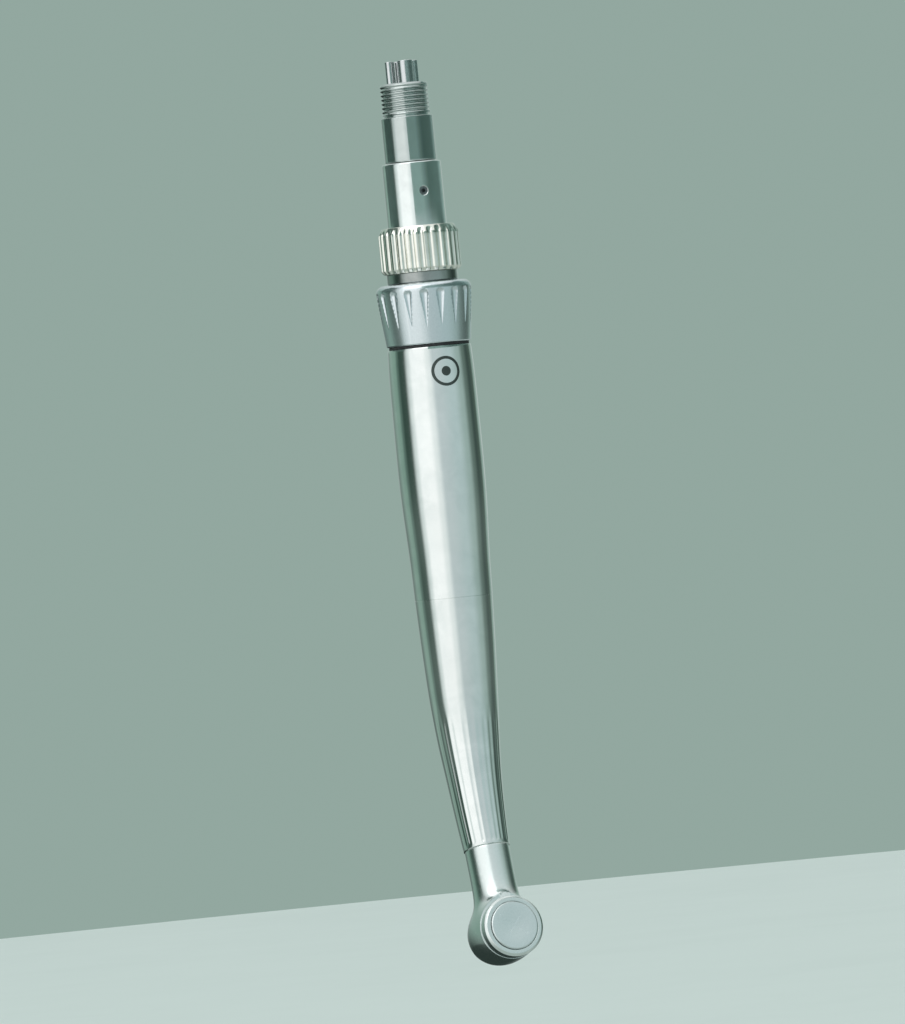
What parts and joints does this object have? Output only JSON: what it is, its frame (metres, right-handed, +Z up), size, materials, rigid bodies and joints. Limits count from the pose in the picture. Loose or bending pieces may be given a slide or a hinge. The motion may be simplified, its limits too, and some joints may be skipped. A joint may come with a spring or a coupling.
{
  "type": "high speed handpiece",
  "caption": "Slim contra-angle air turbine handpiece with a push-button head, on a swivel quick coupler with a knurled release ring.",
  "frame": {"origin": "on the coupler's axis, at the rear face of the hose thread", "axes": "+Z up the coupler's axis towards the hose; the head hangs at the low end and its cap faces -Y; +X to the right of a viewer who faces the cap"},
  "size_m": [0.017, 0.0243, 0.1617],
  "materials": {
    "tail_chrome": "bright polished chrome plate",
    "collar_chrome": "bright polished chrome plate",
    "pipe_steel": "drawn stainless steel",
    "fastener_steel": "dark finished steel",
    "spigot_steel": "turned stainless steel",
    "spring_steel": "spring steel",
    "ring_chrome": "bright chrome plate over a straight knurl",
    "grip_satin": "satin blasted steel with a cool tint",
    "shell_chrome": "bright polished chrome plate",
    "head_satin": "fine satin steel",
    "button_satin": "fine satin steel",
    "liner_steel": "turned stainless steel",
    "seal_rubber": "matt black rubber",
    "turbine_steel": "ground stainless steel",
    "rotor_aluminium": "machined aluminium",
    "spray_steel": "fine satin steel",
    "race_steel": "ground bearing steel",
    "ball_ceramic": "polished dark ceramic",
    "cage_resin": "brown bearing cage resin"
  },
  "bodies": {
    "tail": {"coupler_tail": "tail_chrome", "drive_air_pipe": "pipe_steel", "exhaust_pipe": "pipe_steel", "water_pipe": "pipe_steel", "chip_air_pipe": "pipe_steel", "swivel_retainer": "fastener_steel", "swivel_o_ring_1": "seal_rubber", "swivel_o_ring_2": "seal_rubber"},
    "coupler": {"coupler_collar": "collar_chrome", "collar_set_screw": "fastener_steel", "coupler_spigot": "spigot_steel", "spigot_o_ring_1": "seal_rubber", "spigot_o_ring_2": "seal_rubber", "spigot_o_ring_3": "seal_rubber", "lock_ring": "spring_steel", "release_spring": "spring_steel"},
    "release_ring": {"release_ring": "ring_chrome", "release_ring_cap": "fastener_steel"},
    "handpiece": {"grip_ring": "grip_satin", "seal_ring": "seal_rubber", "rear_shell": "shell_chrome", "front_shell": "shell_chrome", "socket_liner": "liner_steel", "tube_manifold": "liner_steel", "drive_air_tube": "pipe_steel", "water_tube": "pipe_steel", "chip_air_tube": "pipe_steel", "head_housing": "head_satin", "head_cap": "head_satin", "cap_o_ring": "seal_rubber", "spray_ring": "spray_steel", "front_outer_race": "race_steel", "rear_outer_race": "race_steel", "front_race_o_ring": "seal_rubber", "rear_race_o_ring": "seal_rubber", "preload_washer": "spring_steel", "button_spring": "spring_steel"},
    "button": {"push_button": "button_satin"},
    "rotor": {"spindle": "turbine_steel", "collet": "turbine_steel", "impeller": "rotor_aluminium", "front_inner_race": "race_steel", "rear_inner_race": "race_steel"},
    "chuck_plunger": {"chuck_plunger": "turbine_steel"},
    "front_cage": {"front_ball_cage": "cage_resin", "front_ball_1": "ball_ceramic", "front_ball_2": "ball_ceramic", "front_ball_3": "ball_ceramic", "front_ball_4": "ball_ceramic", "front_ball_5": "ball_ceramic", "front_ball_6": "ball_ceramic", "front_ball_7": "ball_ceramic"},
    "rear_cage": {"rear_ball_cage": "cage_resin", "rear_ball_1": "ball_ceramic", "rear_ball_2": "ball_ceramic", "rear_ball_3": "ball_ceramic", "rear_ball_4": "ball_ceramic", "rear_ball_5": "ball_ceramic", "rear_ball_6": "ball_ceramic", "rear_ball_7": "ball_ceramic"}
  },
  "joints": [
    {"name": "coupler_swivel", "type": "hinge", "parent": "tail", "child": "coupler", "pos_m": [0, 0, -0.02], "axis": [0, 0, 1], "continuous": true},
    {"name": "release_ring_slide", "type": "slide", "parent": "coupler", "child": "release_ring", "axis": [0, 0, 1], "range_m": [0, 0.0015], "stiffness_N_per_m": 1500, "springref_m": -0.002, "deforming": ["release_spring", "lock_ring"]},
    {"name": "handpiece_pull_off", "type": "slide", "parent": "coupler", "child": "handpiece", "axis": [0, 0, -1], "range_m": [0, 0.026], "deforming": ["lock_ring"]},
    {"name": "button_press", "type": "slide", "parent": "handpiece", "child": "button", "axis": [0, 0.9781, -0.2079], "range_m": [0, 0.0008], "stiffness_N_per_m": 6000, "springref_m": -0.0005, "deforming": ["button_spring"]},
    {"name": "rotor_spin", "type": "hinge", "parent": "handpiece", "child": "rotor", "pos_m": [0, -0.0086, -0.1518], "axis": [0, -0.9781, 0.2079], "continuous": true},
    {"name": "chuck_release", "type": "slide", "parent": "rotor", "child": "chuck_plunger", "axis": [0, 0.9781, -0.2079], "range_m": [0, 0.00056]},
    {"name": "front_cage_spin", "type": "hinge", "parent": "handpiece", "child": "front_cage", "pos_m": [0, -0.0086, -0.1518], "axis": [0, -0.9781, 0.2079], "continuous": true},
    {"name": "rear_cage_spin", "type": "hinge", "parent": "handpiece", "child": "rear_cage", "pos_m": [0, -0.0086, -0.1518], "axis": [0, -0.9781, 0.2079], "continuous": true}
  ],
  "couplings": [
    {"joint": "chuck_release", "follows": "button_press", "ratio": 0.65},
    {"joint": "front_cage_spin", "follows": "rotor_spin", "ratio": 0.39496},
    {"joint": "rear_cage_spin", "follows": "rotor_spin", "ratio": 0.39496}
  ]
}
